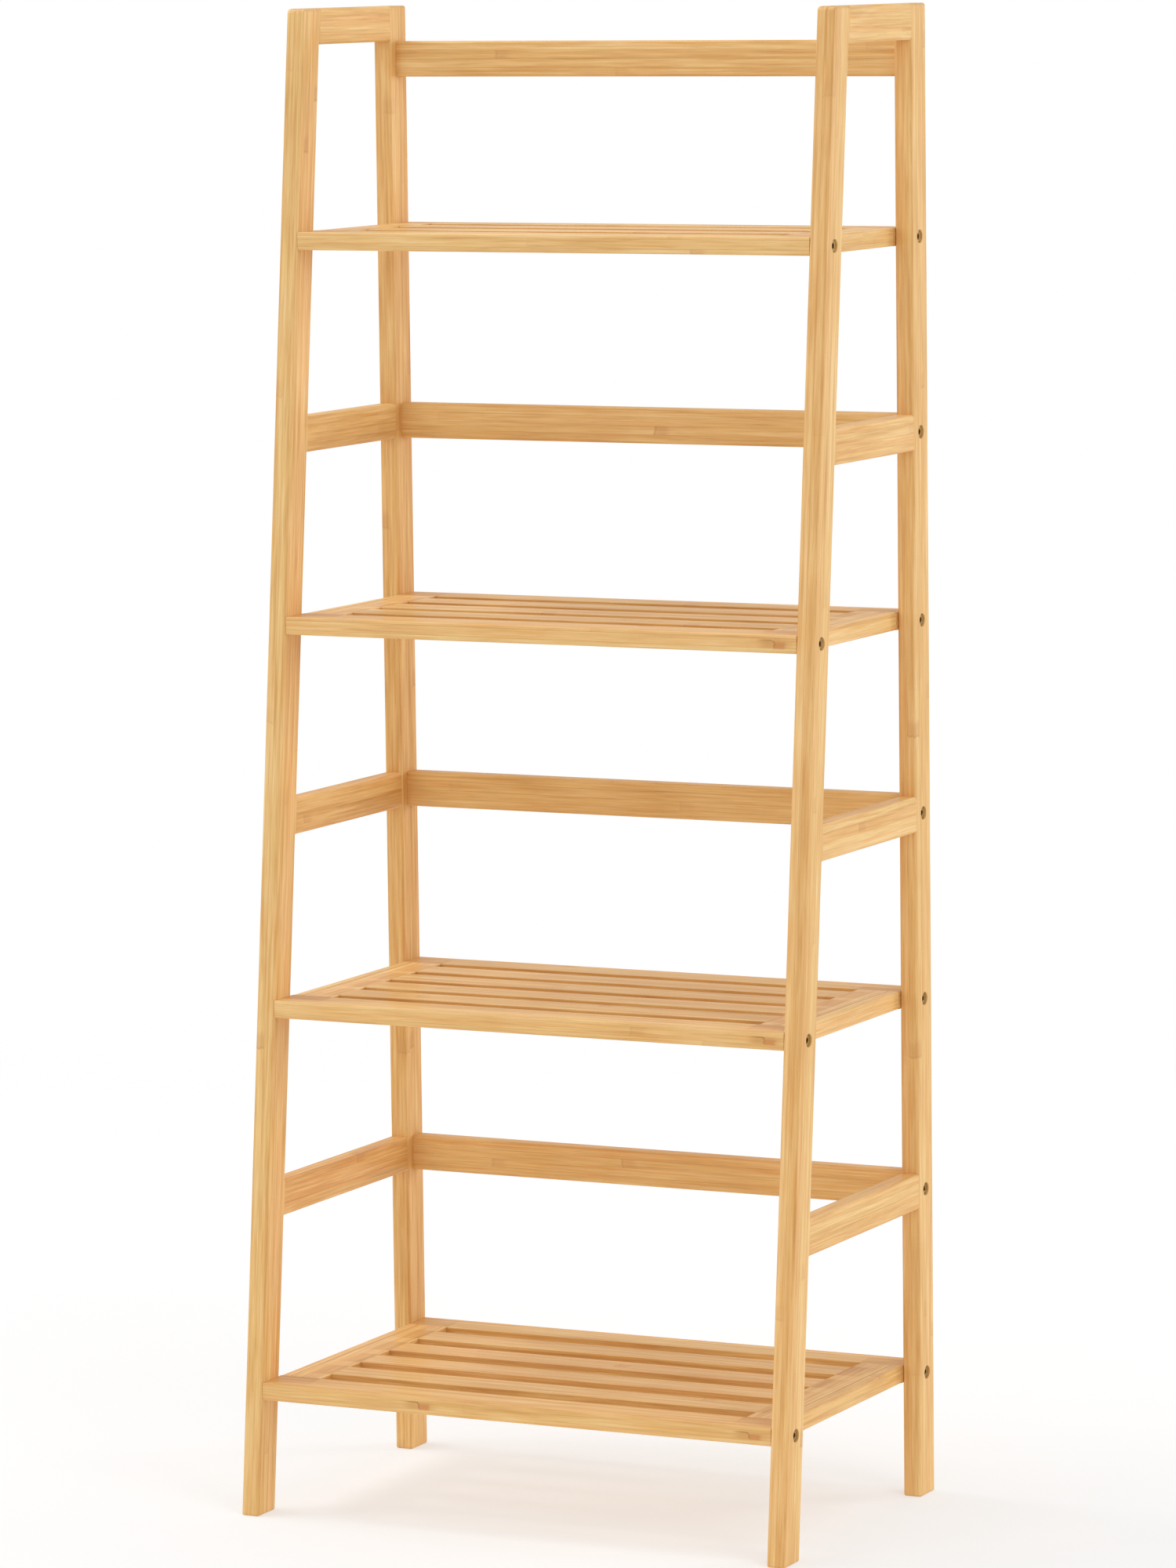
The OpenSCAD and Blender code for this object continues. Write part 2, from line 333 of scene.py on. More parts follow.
def spec_rear_leg(side):
    node = f"{side}_rear_leg"
    lo, hi = box(node)
    top = (LEG_ROUND, LEG_ROUND, LEG_ROUND, JOINT_ROUND)
    return Board(node, 2, lo, hi, [LEG_ROUND] * 4, ([FOOT_ROUND] * 4, top),
                 rail_joints(side, (2, 3), hi.z))


def spec_side_rail(node):
    lo, hi = box(node)
    return Board(node, 1, lo, hi, [LEG_ROUND] * 4, low_slope=RAKE)


def spec_back_rail(node):
    lo, hi = box(node)
    return Board(node, 0, lo, hi, [BACK_RAIL_ROUND] * 4)


def slats_of(k):
    return sorted(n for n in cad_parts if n.startswith(f"shelf_{k}_slat_"))


def spec_shelf_rail(k, place):
    """The front or rear rail of a shelf: nearly sharp where the end boards meet it."""
    node = f"shelf_{k}_{place}_rail"
    lo, hi = box(node)
    inner = box(f"shelf_{k}_right_end")[0].x
    if place == "front":
        corners = (SLOT_ROUND, SHELF_ROUND, SHELF_ROUND, SLOT_ROUND)
        end = (JOINT_ROUND, SHELF_END_ROUND, SHELF_END_ROUND, SHELF_END_ROUND)
        slot_corners, side_tones_and_shade = (0, 3), (0.0, SLOT_SHADE_AND_SAWN_TONE)
    else:
        corners = (SHELF_ROUND, SLOT_ROUND, SLOT_ROUND, SHELF_ROUND)
        end = (SHELF_END_ROUND, SHELF_END_ROUND, JOINT_ROUND, SHELF_END_ROUND)
        slot_corners, side_tones_and_shade = (1, 2), (SLOT_SHADE_AND_SAWN_TONE, 0.0)
    tight = [(lo.x, -inner, slot_corners), (inner, hi.x, slot_corners)]
    return Board(node, 0, lo, hi, corners, (end, end), tight, strips=(3, 3), shelf=True,
                 side_tones_and_shade=side_tones_and_shade, marks=NODE_MARKS.get(node, ()))


def spec_end_board(k, side):
    """The left or right end board of a shelf: nearly sharp where the slats meet it."""
    node = f"shelf_{k}_{side}_end"
    lo, hi = box(node)
    if side == "right":
        corners = (SHELF_ROUND, SHELF_ROUND, SLOT_ROUND, SLOT_ROUND)
        slot_corners, side_tones_and_shade = (2, 3), (SLOT_SHADE_AND_SAWN_TONE, OUTER_TONE)
        seam = hi.x - GLUE_SEAM_IN
    else:
        corners = (SLOT_ROUND, SLOT_ROUND, SHELF_ROUND, SHELF_ROUND)
        slot_corners, side_tones_and_shade = (0, 1), (OUTER_TONE, SLOT_SHADE_AND_SAWN_TONE)
        seam = lo.x + GLUE_SEAM_IN
    tight = [(box(s)[0].y, box(s)[1].y, slot_corners) for s in slats_of(k)]
    return Board(node, 1, lo, hi, corners, tight=tight, seam=seam, strips=(4, 3), shelf=True,
                 side_tones_and_shade=side_tones_and_shade)


def spec_slat(node, k):
    """A slat between the end boards, without its tenons."""
    lo, hi = box(node)
    lo, hi = lo.copy(), hi.copy()
    hi.x = box(f"shelf_{k}_right_end")[0].x
    lo.x = -hi.x
    return Board(node, 0, lo, hi, [SLOT_ROUND] * 4, strips=(3, 3), shelf=True,
                 side_tones_and_shade=(SLOT_SHADE_AND_SAWN_TONE, SLOT_SHADE_AND_SAWN_TONE))


boards = []
for side in SIDES:
    boards += [spec_front_leg(side), spec_rear_leg(side)]
    boards += [spec_side_rail(r) for r in rails_of(side)]
boards.append(spec_back_rail("top_back_rail"))
boards += [spec_back_rail(f"back_rail_{k}") for k in range(1, SHELVES)]
for k in range(1, SHELVES + 1):
    boards += [spec_shelf_rail(k, "front"), spec_shelf_rail(k, "rear")]
    boards += [spec_end_board(k, side) for side in SIDES]
    boards += [spec_slat(s, k) for s in slats_of(k)]


# ---- Screws and their recesses, as rings about an axis that points outward ----
def round_ring(x, radius):
    return [(x, radius * math.cos(math.tau * i / ROUND_STEPS),
             radius * math.sin(math.tau * i / ROUND_STEPS)) for i in range(ROUND_STEPS)]


def hex_ring(x, flats, turned):
    """A hexagon turned by so many steps, with points in the same directions as a round ring's."""
    points = []
    for i in range(ROUND_STEPS):
        a = math.tau * i / ROUND_STEPS
        off = ((i - turned) / ROUND_STEPS * 6 + 0.5) % 1.0 - 0.5
        r = flats / 2 / math.cos(off * math.pi / 3)
        points.append((x, r * math.cos(a), r * math.sin(a)))
    return points


def screw_place(lo, hi):
    """Which way along X a screw faces, and where its axis is in Y and Z."""
    return 1 if hi.x > 0 else -1, (lo.y + hi.y) / 2, (lo.z + hi.z) / 2


def placed_rings(rings, way, face_x, y, z):
    """The rings turned to face this way along X, from a face at face_x."""
    return [[(face_x + way * x, y + way * py, z + pz) for x, py, pz in ring] for ring in rings]


def goes_through(leg, y, z):
    """True if a screw at this place on the leg's side of the shelf goes through this leg."""
    on_front_leg = y < leg_lo.y + RAKE * z + FRONT_LEG_Y
    return on_front_leg == leg.endswith("_front_leg")


def cut_counterbores(ob, spec):
    """Cuts the recess of each screw that goes through this leg into its outer face."""
    leg_way = 1 if spec.hi.x > 0 else -1
    face_x = spec.hi.x if leg_way > 0 else spec.lo.x
    rings = [round_ring(-COUNTERBORE_DEEP, COUNTERBORE_R),
             round_ring(-COUNTERBORE_LIP, COUNTERBORE_R),
             round_ring(COUNTERBORE_LIP, COUNTERBORE_R + 2 * COUNTERBORE_LIP),
             round_ring(CUTTER_PROUD, COUNTERBORE_R + 2 * COUNTERBORE_LIP)]
    verts, faces = [], []
    for lo, hi in (screw for screws in SCREWS.values() for screw in screws):
        way, y, z = screw_place(lo, hi)
        if way == leg_way and goes_through(spec.node, y, z):
            add_loft(verts, faces, placed_rings(rings, way, face_x, y, z))
    cutter = new_object("counterbore_cutter", verts, faces)
    cut = ob.modifiers.new("counterbores", "BOOLEAN")
    cut.operation, cut.solver, cut.object = "DIFFERENCE", "EXACT", cutter
    bpy.context.view_layer.update()
    depsgraph = bpy.context.evaluated_depsgraph_get()
    made = bpy.data.meshes.new_from_object(ob.evaluated_get(depsgraph))
    ob.modifiers.clear()
    ob.data = made
    bpy.data.objects.remove(cutter)


def screw_rings(length, head_r, turned):
    """A shank with a pointed end, a head and its hexagon socket, turned by so many steps."""
    rings = [round_ring(-length, SHANK_R - SHANK_POINT),
             round_ring(-length + SHANK_POINT, SHANK_R),
             round_ring(-HEAD_H - HEAD_NECK, SHANK_R),
             round_ring(-HEAD_H, SHANK_R + HEAD_NECK),
             round_ring(-HEAD_H, head_r - HEAD_UNDER),
             round_ring(-HEAD_H + HEAD_UNDER, head_r)]
    for i in range(ARC_STEPS + 1):
        a = math.pi / 2 * i / ARC_STEPS
        rings.append(round_ring(-HEAD_ROUND * (1 - math.sin(a)),
                                head_r - HEAD_ROUND * (1 - math.cos(a))))
    socket_r = SOCKET_AF / 2 / math.cos(math.pi / 6)
    end_depth, end_r = SOCKET_END
    return rings + [round_ring(0.0, socket_r + SOCKET_LIP),
                    hex_ring(-SOCKET_LIP, SOCKET_AF, turned),
                    hex_ring(-SOCKET_DEEP, SOCKET_AF, turned),
                    round_ring(-SOCKET_DEEP - end_depth, end_r)]


def screws_object(node):
    """Every screw of a CAD group, as one piece."""
    verts, faces = [], []
    for index, (lo, hi) in enumerate(SCREWS[node]):
        way, y, z = screw_place(lo, hi)
        rings = screw_rings(hi.x - lo.x, (hi.z - lo.z) / 2, SOCKET_TURN * index + 1)
        add_loft(verts, faces, placed_rings(rings, way, hi.x if way > 0 else lo.x, y, z))
    ob = new_object(f"{node}_bronze", verts, faces)
    finish_mesh(ob, SCREW_SHARP)
    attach(ob, "root")
    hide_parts(node)
    return ob


# ---- Building the boards ----
def set_vectors(mesh, name, values):
    layer = mesh.attributes.new(name, "FLOAT_VECTOR", "POINT")
    layer.data.foreach_set("vector", [x for v in values for x in v])


def set_grain(mesh, spec, seed):
    """Writes what the bamboo material reads at each point of a board.

    grain: place along the grain, across the wider side and across the thinner.
    board: the board's seed, and its numbers of strips across and deep.
    strip: the last two of grain counted in strips, and how much end grain shows.
    mark: distances along the grain from two dark nodes, and the tone, with painted shade on slot
    walls and some boards.
    seam: distance from the glue seam."""
    grain = [spec.grain(v.co) for v in mesh.vertices]
    set_vectors(mesh, "grain", grain)
    set_vectors(mesh, "board", [(seed, *spec.strips)] * len(grain))
    most = END_GRAIN if spec.node.endswith("_leg") else END_GRAIN_IN_JOINT
    set_vectors(mesh, "strip", [
        (v / spec.strip_size[0], (w + spec.ply_shift) / spec.strip_size[1],
         most * max(0.0, 1.0 - min(u, spec.length - u) / END_SKIN)) for u, v, w in grain])
    marks = [x - spec.lo[spec.axis] for x in spec.marks] + [FAR] * 2
    set_vectors(mesh, "mark", [(u - marks[0], u - marks[1], spec.tone + side_tone_and_shade(spec, v))
                               for u, v, _ in grain])
    set_vectors(mesh, "seam", [(FAR if spec.seam is None else v.co[spec.q] - spec.seam, 0.0, 0.0)
                               for v in mesh.vertices])


def side_tone_and_shade(spec, v):
    # The narrow sides' steps: on slot walls, painted shade in the slots
    low, high = spec.side_tones_and_shade
    return low if v < SIDE_SKIN else high if v > spec.wide - SIDE_SKIN else 0.0


def board_object(spec, seed):
    name = f"{spec.node}_bamboo"
    verts, faces = [], []
    add_loft(verts, faces, spec.rings())
    ob = new_object(name, verts, faces)
    if spec.node.endswith("_leg"):
        cut_counterbores(ob, spec)
    ob.data.name = name
    set_grain(ob.data, spec, seed)
    finish_mesh(ob, BOARD_SHARP)
    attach(ob, "root")
    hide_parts(spec.node)
    return ob


bamboo_pieces = [board_object(spec, (index * SEED_STEP) % 1.0)
                 for index, spec in enumerate(boards)]
screw_pieces = [screws_object(node) for node in SCREWS]


# ---- Materials ----
class Tree:
    """A material's or the world's nodes, added one at a time."""

    def __init__(self, owner):
        owner.use_nodes = True
        self.nodes, self.links = owner.node_tree.nodes, owner.node_tree.links
        self.nodes.clear()

    def add(self, kind, inputs=None, **settings):
        made = self.nodes.new("ShaderNode" + kind)
        for key, value in settings.items():
            setattr(made, key, value)
        for key, value in (inputs or {}).items():
            self.feed(made.inputs[key], value)
        return made

    def feed(self, socket, value):
        if isinstance(value, bpy.types.NodeSocket):
            self.links.new(value, socket)
        elif isinstance(value, bpy.types.Node):
            self.links.new(value.outputs[0], socket)
        elif socket.type == "RGBA":
            socket.default_value = (*value, 1.0)
        else:
            socket.default_value = value

    def math(self, operation, a, b=0.0, c=0.0):
        made = self.add("Math", operation=operation)
        for socket, value in zip(made.inputs, (a, b, c)):
            self.feed(socket, value)
        return made.outputs[0]

    def times(self, product, *factors):
        for factor in factors:
            product = self.math("MULTIPLY", product, factor)
        return product

    def vary(self, base, noise, weight):
        """The base, moved up and down by a noise about its middle."""
        return self.math("MULTIPLY_ADD", self.math("SUBTRACT", noise, 0.5), weight, base)

    def weigh(self, *parts):
        """The sum of (value, weight) pairs."""
        total = None
        for value, weight in parts:
            part = self.math("MULTIPLY", value, weight)
            total = part if total is None else self.math("ADD", total, part)
        return total

    def attribute(self, name):
        vector = self.add("Attribute", attribute_name=name).outputs["Vector"]
        parts = self.add("SeparateXYZ", {0: vector})
        return parts.outputs[0], parts.outputs[1], parts.outputs[2]

    def combine(self, x, y, z):
        return self.add("CombineXYZ", {0: x, 1: y, 2: z}).outputs[0]

    def noise(self, place, scale, detail):
        """Noise with a scale per metre, or with one scale for each direction."""
        if isinstance(scale, tuple):
            place = self.add("VectorMath", {0: place, 1: scale}, operation="MULTIPLY")
            scale = 1.0
        return self.add("TexNoise", {"Vector": place, "Scale": scale,
                                     "Detail": detail}).outputs[0]

    def random(self, x, y, z):
        """A node with a random Value and Color for each set of three numbers."""
        return self.add("TexWhiteNoise", {"Vector": self.combine(x, y, z)})

    def step(self, value, low, high):
        """0 below low, 1 above high and smooth between, or the reverse where high is lower."""
        flip = high < low
        made = self.add("MapRange", {"Value": value, "From Min": min(low, high),
                                     "From Max": max(low, high),
                                     "To Min": 1.0 if flip else 0.0,
                                     "To Max": 0.0 if flip else 1.0},
                        interpolation_type="SMOOTHSTEP")
        return made.outputs[0]

    def band(self, value, rise, fall):
        """1 between a step up and a step down."""
        return self.times(self.step(value, *rise), self.step(value, *fall))

    def mix(self, factor, a, b, blend="MIX"):
        """A mix of two colours, which are the node's inputs 6 and 7 and its output 2."""
        made = self.add("Mix", data_type="RGBA", blend_type=blend)
        self.feed(made.inputs["Factor"], factor)
        self.feed(made.inputs[6], a)
        self.feed(made.inputs[7], b)
        return made.outputs[2]

    def ramp(self, value, stops):
        made = self.add("ValToRGB", {0: value})
        elements = made.color_ramp.elements
        while len(elements) < len(stops):
            elements.new(0.5)
        for element, (place, colour) in zip(elements, stops):
            element.position, element.color = place, (*colour, 1.0)
        return made.outputs[0]

    def object_place(self):
        return self.add("TexCoord").outputs["Object"]


# Colours are linear. Noise scales are per metre along the grain, across it and deep.
BAMBOO = ((0.0, (0.55, 0.26, 0.072)), (0.3, (0.715, 0.402, 0.135)), (0.5, (0.82, 0.511, 0.198)),
          (0.72, (0.90, 0.618, 0.285)), (1.0, (0.955, 0.738, 0.404)))
STREAKS = ((6.0, 230.0, 230.0), 1.0, 0.6)       # broad fibres: scale, detail and weight
FIBRES = ((15.0, 430.0, 430.0), 1.0, 0.65)
HAIRS = ((38.0, 1000.0, 1000.0), 2.0, 0.4)
BROAD = (9.0, 2.0, 0.3)                         # slow change over the whole board
STRIP_WEIGHT = 0.16                             # and from strip to strip
SEED_SPREAD = 91.7                              # metres between boards in the noises
STRIP_SPREAD = 4.0                              # and between strips
INSIDE = 0.01                                   # keeps a strip's number inside the board

PINK_STRIP, PINK_MOST = (1.02, 0.93, 0.92), 0.7
TINTS = ((11.0, 330.0, 330.0), 1.0)             # streaks of redder and yellower wood
REDDER, REDDER_STEP = (0.99, 0.90, 0.76), (0.5, 0.72)
YELLOWER, YELLOWER_STEP = (1.02, 1.05, 0.98), (0.5, 0.28)
VEINS = ((9.0, 900.0, 900.0), 1.0)              # long thin dark lines
VEIN, VEIN_STEP, VEIN_MOST = (0.52, 0.25, 0.075), (0.60, 0.72), 0.32
PORES = ((35.0, 2000.0, 2000.0), 1.0)
PORE, PORE_STEP, PORE_MOST = (0.45, 0.21, 0.065), (0.60, 0.74), 0.35

NODE_SPACING = 0.27                             # between the nodes of a cane
NODE_SHIFT = 5.0                                # spacings by which strips may differ
NODE_WAVER = 6 * MM
NODE_RARITY = 4.0                               # the higher, the fewer strong nodes
NODE_KEY = 7.0                                  # gives each strip and ply a number of its own
NODE_BAND = ((-1.5 * MM, 0.5 * MM), (16 * MM, 8 * MM), 0.4, (0.56, 0.25, 0.085))
NODE_LINE = ((-1.6 * MM, -0.4 * MM), (1.2 * MM, 0.2 * MM), 0.3, (0.40, 0.17, 0.055))

MARK_REACH = (30 * MM, 29.7 * MM)
MARK_DEEP = (6 * MM, 5.4 * MM)                  # in from the front face
MARK_WAVER = (6 * MM, 3 * MM)                   # along and up
# Stretches of a mark along the board and up it, where it fades in and where it fades out
BROWN_ALONG = ((-18 * MM, -6 * MM), (22 * MM, 4 * MM))
BROWN_UP = ((3.6 * MM, 5.6 * MM), (11.5 * MM, 9.5 * MM))
RED_ALONG = ((-1.5 * MM, 1.0 * MM), (11.5 * MM, 8.0 * MM))
RED_UP = ((3.4 * MM, 5.0 * MM), (9.6 * MM, 8.0 * MM))
HOOK_R = 3 * MM                                 # where its line turns down
HOOK_TURN_UP = 7.2 * MM                         # height of the turn's centre
HOOK_HALF = (0.8 * MM, 0.2 * MM)
HOOK_FROM, HOOK_FOOT = (-17 * MM, -5 * MM), (4 * MM, 5.5 * MM)
BROWN, RED, HOOK = (0.62, 0.32, 0.100), (0.62, 0.25, 0.08), (0.40, 0.17, 0.055)
BROWN_MOST, RED_MOST, HOOK_MOST = 0.68, 0.7, 0.7

GLUE, SEAM = (0.40, 0.19, 0.06), (0.30, 0.13, 0.04)
GLUE_HALF = (0.03, 0.009)                       # half width of a glue line, in strips
GLUE_LEAST, GLUE_RANGE = 0.05, 0.5
GLUE_KEYS = (3.1, 8.7)                          # give the two directions their own random row
SEAM_HALF, SEAM_MOST = (GLUE_SEAM_W, 0.4 * GLUE_SEAM_W), 0.65
DOTS = (1500.0, 1.0)                            # fibre bundles in a sawn end
DOT_STEP, END_LIGHT, END_DARK = (0.5, 0.64), (0.72, 0.43, 0.16), (0.48, 0.24, 0.08)
HAIRS_UP, PORES_UP, GLUE_UP = 0.5, -0.5, -0.8   # how far each stands out of the surface
LACQUER = {"Specular IOR Level": 0.18, "Coat Weight": 0.12, "Coat Roughness": 0.12}

BRONZE = ((0.3, (0.19, 0.108, 0.034)), (0.5, (0.34, 0.21, 0.072)), (0.72, (0.52, 0.35, 0.14)))
PATCHES, GRIT = (900.0, 3.0), (5200.0, 2.0)     # scale and detail
BEECH = ((0.3, (0.55, 0.36, 0.20)), (0.7, (0.78, 0.58, 0.37)))
BEECH_FIBRES, FLECKS = ((300.0, 60.0, 600.0), 3.0), ((1400.0, 350.0, 1400.0), 1.0)
COARSE, FINE = 0.7, 0.3                         # weights of the two noises in bronze and beech
GLOSS, BEECH_GLOSS, GLOSS_RANGE = 0.38, 0.5, 0.2    # roughnesses


def with_cane_nodes(t, colour, u, fibres, strip, ply, shift, seed):
    """The nodes of the cane: a darker stretch in one strip, with a thin line at its start."""
    turns = t.math("ADD", t.math("DIVIDE", u, NODE_SPACING), t.times(shift, NODE_SHIFT))
    count = t.math("FLOOR", turns)
    gap = t.times(t.math("SUBTRACT", t.math("FRACT", turns), 0.5), NODE_SPACING)
    gap = t.vary(gap, fibres, NODE_WAVER)
    chance = t.random(t.math("MULTIPLY_ADD", strip, NODE_KEY, ply), count, seed).outputs["Value"]
    strength = t.math("POWER", chance, NODE_RARITY)
    for rise, fall, most, shade in (NODE_BAND, NODE_LINE):
        colour = t.mix(t.times(t.band(gap, rise, fall), strength, most), colour, shade)
    return colour


def with_marks(t, colour, off_1, off_2, v, w, fibres, streaks):
    """Dark nodes in some front faces: a brownish stretch, a reddish patch in the lower part of
    the core and a thin dark hook between them."""
    at_first = t.step(t.math("ABSOLUTE", off_1), *MARK_REACH)
    along = t.add("Mix", {"Factor": at_first, 2: off_2, 3: off_1}, data_type="FLOAT").outputs[0]
    along = t.vary(along, fibres, MARK_WAVER[0])
    up = t.vary(w, streaks, MARK_WAVER[1])
    face = t.step(v, *MARK_DEEP)
    brown = t.times(t.band(along, *BROWN_ALONG), t.band(up, *BROWN_UP))
    red = t.times(t.band(along, *RED_ALONG), t.band(up, *RED_UP))
    # A level line that ends in a quarter turn down: the places HOOK_R away from its centre
    over = t.math("MAXIMUM", t.math("ADD", along, HOOK_R), 0.0)
    above = t.math("MAXIMUM", t.math("SUBTRACT", up, HOOK_TURN_UP), 0.0)
    away = t.math("SQRT", t.math("ADD", t.times(over, over), t.times(above, above)))
    hook = t.step(t.math("ABSOLUTE", t.math("SUBTRACT", away, HOOK_R)), *HOOK_HALF)
    hook = t.times(hook, t.step(along, *HOOK_FROM), t.step(up, *HOOK_FOOT))
    for shape, most, shade in ((brown, BROWN_MOST, BROWN), (red, RED_MOST, RED),
                               (hook, HOOK_MOST, HOOK)):
        colour = t.mix(t.times(shape, face, most), colour, shade)
    return colour


def glue_lines(t, across, deep, strip_count, ply_count, seed):
    """Glue lines between strips and between plies, some darker than others."""
    found = []
    for scaled, count, key in zip((across, deep), (strip_count, ply_count), GLUE_KEYS):
        nearest = t.math("ROUND", scaled)
        off = t.math("ABSOLUTE", t.math("SUBTRACT", scaled, nearest))
        inside = t.times(t.math("GREATER_THAN", nearest, 0.5),
                         t.math("LESS_THAN", nearest, t.math("SUBTRACT", count, 0.5)))
        heavy = t.random(nearest, seed, key).outputs["Value"]
        found.append(t.times(t.step(off, *GLUE_HALF),
                             t.math("MULTIPLY_ADD", heavy, GLUE_RANGE, GLUE_LEAST), inside))
    return t.math("MAXIMUM", *found)


def bamboo_material():
    """Laminated bamboo, from what set_grain wrote at each point of a board."""
    material = bpy.data.materials.new("laminated_bamboo")
    t = Tree(material)
    u, v, w = t.attribute("grain")
    seed, strip_count, ply_count = t.attribute("board")
    across, deep, end = t.attribute("strip")
    mark_1, mark_2, tone = t.attribute("mark")
    seed = t.times(seed, SEED_SPREAD)
    strip, ply = (t.math("FLOOR", t.math("MINIMUM", t.math("MAXIMUM", scaled, INSIDE),
                                         t.math("SUBTRACT", count, INSIDE)))
                  for scaled, count in ((across, strip_count), (deep, ply_count)))
    cell = t.random(strip, ply, seed)
    cell_shift, cell_pink, _ = t.add("SeparateColor", {0: cell.outputs["Color"]}).outputs

    along = t.math("ADD", u, t.math("MULTIPLY_ADD", cell.outputs["Value"], STRIP_SPREAD, seed))
    place = t.combine(along, v, w)
    streaks, fibres, hairs = (t.noise(place, scale, detail)
                              for scale, detail, _ in (STREAKS, FIBRES, HAIRS))
    veins, pores, tints = (t.noise(place, *kind) for kind in (VEINS, PORES, TINTS))
    broad = t.noise(t.combine(t.math("ADD", u, seed), v, w), *BROAD[:2])

    # The tone from set_grain holds painted shade on slot walls and some boards
    level = t.vary(t.math("ADD", tone, 0.5), cell.outputs["Value"], STRIP_WEIGHT)
    for source, kind in ((streaks, STREAKS), (fibres, FIBRES), (hairs, HAIRS), (broad, BROAD)):
        level = t.vary(level, source, kind[2])
    colour = t.ramp(level, BAMBOO)
    pink = t.times(t.step(cell_pink, 0.5, 1.0), PINK_MOST)
    colour = t.mix(pink, colour, PINK_STRIP, "MULTIPLY")
    colour = t.mix(t.step(tints, *REDDER_STEP), colour, REDDER, "MULTIPLY")
    colour = t.mix(t.step(tints, *YELLOWER_STEP), colour, YELLOWER, "MULTIPLY")
    colour = t.mix(t.times(t.step(veins, *VEIN_STEP), VEIN_MOST), colour, VEIN)
    colour = t.mix(t.times(t.step(pores, *PORE_STEP), PORE_MOST), colour, PORE)
    colour = with_cane_nodes(t, colour, u, fibres, strip, ply, cell_shift, seed)
    colour = with_marks(t, colour, mark_1, mark_2, v, w, fibres, streaks)

    lines = glue_lines(t, across, deep, strip_count, ply_count, seed)
    colour = t.mix(lines, colour, GLUE)
    seam = t.step(t.math("ABSOLUTE", t.attribute("seam")[0]), *SEAM_HALF)
    colour = t.mix(t.times(seam, SEAM_MOST), colour, SEAM)
    # Sawn ends take more lacquer and show the fibre bundles as dots
    end_colour = t.mix(t.step(t.noise(place, *DOTS), *DOT_STEP), END_LIGHT, END_DARK)
    colour = t.mix(end, colour, end_colour)

    relief = t.weigh((hairs, HAIRS_UP), (pores, PORES_UP), (lines, GLUE_UP))
    bump = t.add("Bump", {"Height": relief, "Strength": 0.25, "Distance": 0.15 * MM})
    gloss = t.math("MULTIPLY_ADD", fibres, GLOSS_RANGE, GLOSS)
    shader = t.add("BsdfPrincipled", {"Base Color": colour, "Roughness": gloss, "Normal": bump,
                                      **LACQUER})
    t.add("OutputMaterial", {"Surface": shader})
    return material


def bronze_material():
    material = bpy.data.materials.new("bronzed_steel")
    t = Tree(material)
    place = t.object_place()
    patches, grit = t.noise(place, *PATCHES), t.noise(place, *GRIT)
    colour = t.ramp(t.weigh((patches, COARSE), (grit, FINE)), BRONZE)
    bump = t.add("Bump", {"Height": grit, "Strength": 0.15, "Distance": 0.05 * MM})
    gloss = t.math("MULTIPLY_ADD", patches, GLOSS_RANGE, GLOSS)
    shader = t.add("BsdfPrincipled", {"Base Color": colour, "Metallic": 1.0, "Roughness": gloss,
                                      "Normal": bump})
    t.add("OutputMaterial", {"Surface": shader})
    return material


def beech_material():
    """For the dowels, which run along X or Y and are hidden in their joints."""
    material = bpy.data.materials.new("beech")
    t = Tree(material)
    place = t.object_place()
    fibres, flecks = t.noise(place, *BEECH_FIBRES), t.noise(place, *FLECKS)
    colour = t.ramp(t.weigh((fibres, COARSE), (flecks, FINE)), BEECH)
    gloss = t.math("MULTIPLY_ADD", fibres, GLOSS_RANGE, BEECH_GLOSS)
    shader = t.add("BsdfPrincipled", {"Base Color": colour, "Roughness": gloss})
    t.add("OutputMaterial", {"Surface": shader})
    return material


def give(ob, material):
    ob.data.materials.clear()
    ob.data.materials.append(material)


bamboo = bamboo_material()
for ob in bamboo_pieces:
    give(ob, bamboo)
bronze = bronze_material()
for ob in screw_pieces:
    give(ob, bronze)
beech = beech_material()
for node in ("frame_dowels", "shelf_dowels", "back_rail_dowels"):
    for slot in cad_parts[node].material_slots:
        slot.material = beech


# ---- Floor ----
FLOOR_HALF = 3.0
FLOOR_FADE = (1.3, 2.9)       # distances over which it fades into the backdrop
FLOOR_LIGHT, FLOOR_DARK = (0.95,) * 3, (0.95 * 0.985,) * 3
FLOOR_SPECKLE = (400.0, 2.0)
FLOOR_GLOW = 0.5              # share of the floor that is its own white light, as a light table
WHITE = (1.0, 1.0, 1.0)


def make_floor():
    corners = [(x * FLOOR_HALF, y * FLOOR_HALF, 0.0)
               for x, y in ((-1, -1), (1, -1), (1, 1), (-1, 1))]
    floor = new_object("floor", corners, [(0, 1, 2, 3)])
    material = bpy.data.materials.new("pale_floor")
    t = Tree(material)
    place = t.object_place()
    colour = t.mix(t.noise(place, *FLOOR_SPECKLE), FLOOR_DARK, FLOOR_LIGHT)
    pale = t.add("MixShader", {0: FLOOR_GLOW, 1: t.add("BsdfDiffuse", {"Color": colour}),
                               2: t.add("Emission", {"Color": WHITE})})
    away = t.add("VectorMath", {0: place}, operation="LENGTH").outputs["Value"]
    shader = t.add("MixShader", {0: t.step(away, *FLOOR_FADE), 1: pale,
                                 2: t.add("BsdfTransparent")})
    t.add("OutputMaterial", {"Surface": shader})
    give(floor, material)


make_floor()

# ---- Light, solved from the photograph's tones ----
AMBIENT = 0.675
BACKDROP = 1.0
CENTRE = Vector((0.0, 0.0, 0.62))
LAMP_AWAY = 5.0
LAMP_SIZE = 2.0
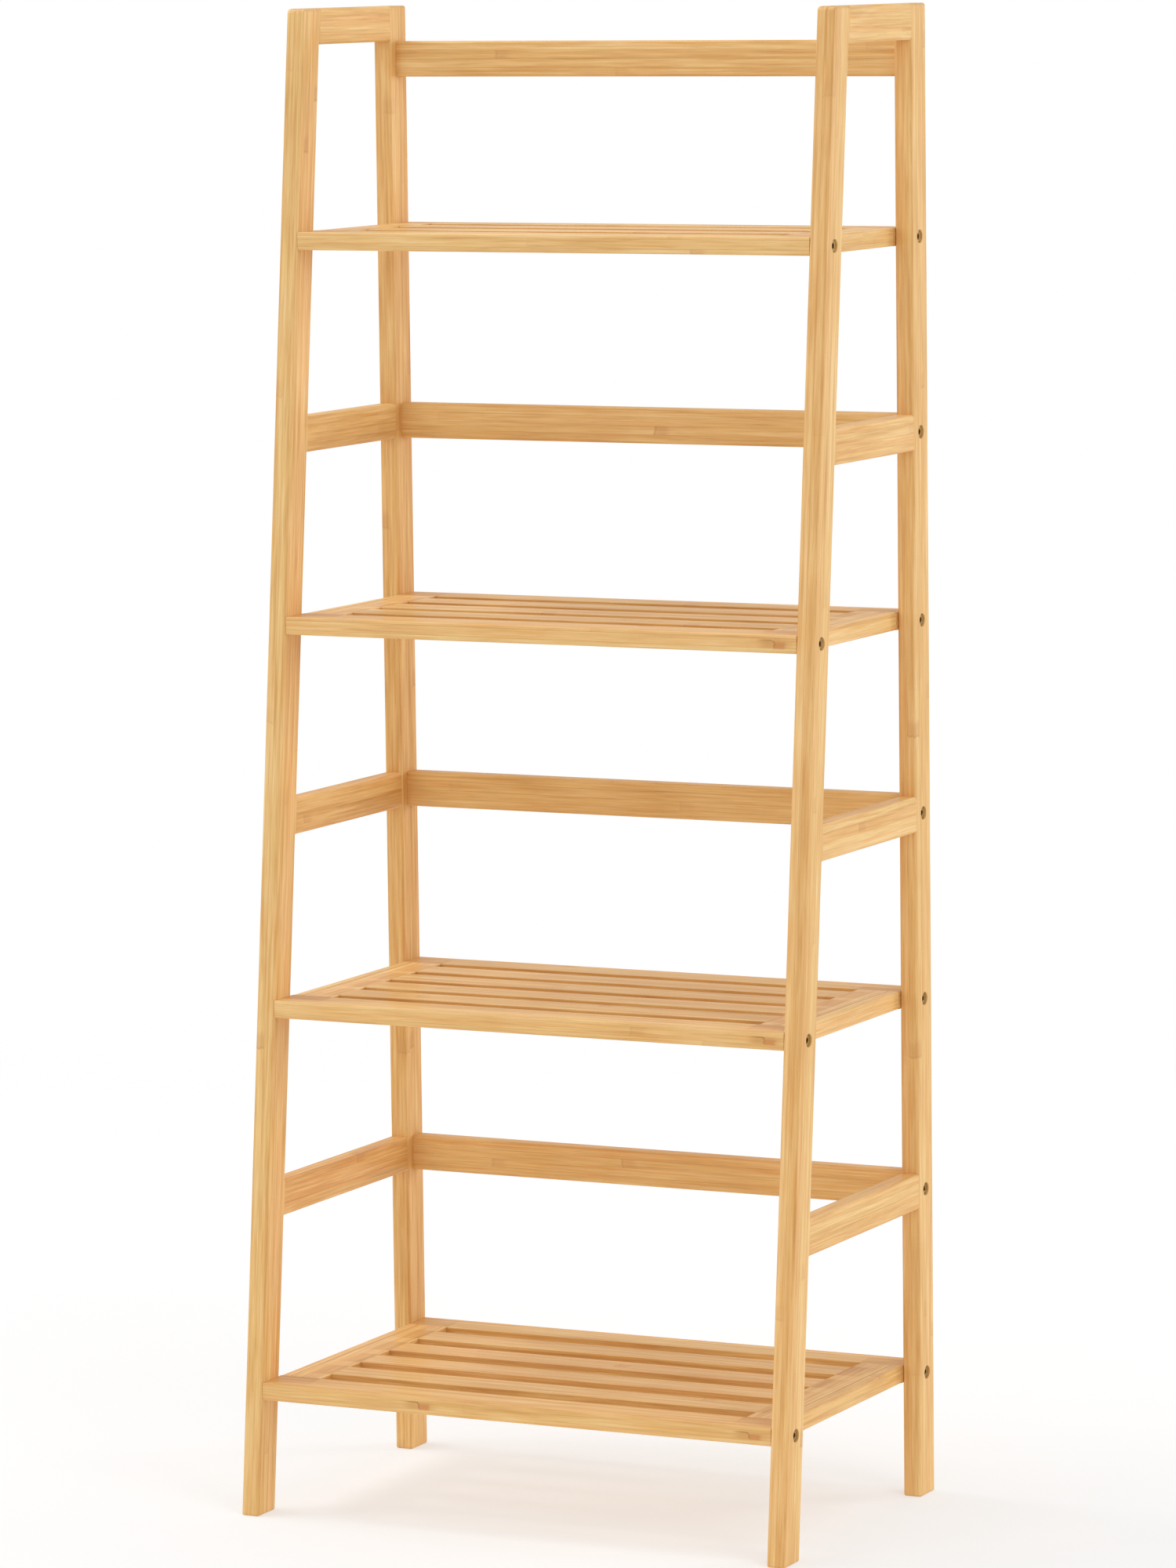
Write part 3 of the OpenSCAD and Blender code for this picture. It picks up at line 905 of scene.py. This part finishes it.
# Name, azimuth and elevation in degrees as for the camera, power in watts
LAMPS = (
    ("left_high", -90.0, 62.0, 65.0),
    ("back_right", 130.0, 8.0, 59.0),
    ("back", 180.0, 8.0, 26.0),
    ("left_front", -60.0, 35.0, 22.0),
    ("right_front", 60.0, 35.0, 20.0),
    ("right_high", 60.0, 62.0, 16.0),
    ("front_low", -30.0, 8.0, 15.0),
)


def direction(azimuth, elevation):
    """The way from the shelf to a lamp or camera at these angles in degrees."""
    a, e = math.radians(azimuth), math.radians(elevation)
    return Vector((math.sin(a) * math.cos(e), -math.cos(a) * math.cos(e), math.sin(e)))


def make_lights():
    scene = bpy.context.scene
    scene.world = bpy.data.worlds.new("studio")
    t = Tree(scene.world)
    seen = t.add("LightPath").outputs["Is Camera Ray"]
    both = t.add("MixShader", {0: seen,
                               1: t.add("Background", {"Color": WHITE, "Strength": AMBIENT}),
                               2: t.add("Background", {"Color": WHITE, "Strength": BACKDROP})})
    t.add("OutputWorld", {"Surface": both})
    for name, azimuth, elevation, power in LAMPS:
        data = bpy.data.lights.new(name, "AREA")
        data.shape, data.size, data.energy = "DISK", LAMP_SIZE, power
        lamp = bpy.data.objects.new(name, data)
        way = direction(azimuth, elevation)
        lamp.location = CENTRE + LAMP_AWAY * way
        lamp.rotation_mode = "QUATERNION"
        lamp.rotation_quaternion = way.to_track_quat("Z", "Y")
        lamp.visible_camera = False
        scene.collection.objects.link(lamp)
    scene.view_settings.view_transform = "Standard"
    scene.view_settings.look = "None"


make_lights()


def make_camera():
    back = direction(CAMERA_AZIMUTH, CAMERA_ELEVATION)
    a, r = math.radians(CAMERA_AZIMUTH), math.radians(CAMERA_ROLL)
    level = Vector((math.cos(a), math.sin(a), 0.0))
    right = math.cos(r) * level + math.sin(r) * back.cross(level)
    up = back.cross(right)
    data = bpy.data.cameras.new("camera")
    data.sensor_width, data.lens = CAMERA_SENSOR, CAMERA_LENS
    data.shift_x, data.shift_y = CAMERA_SHIFT
    data.clip_end = CAMERA_FAR
    camera = bpy.data.objects.new("camera", data)
    turn = Matrix((right, up, back)).transposed().to_4x4()
    camera.matrix_world = Matrix.Translation(CAMERA_POSITION) @ turn
    bpy.context.scene.collection.objects.link(camera)
    bpy.context.scene.camera = camera


make_camera()
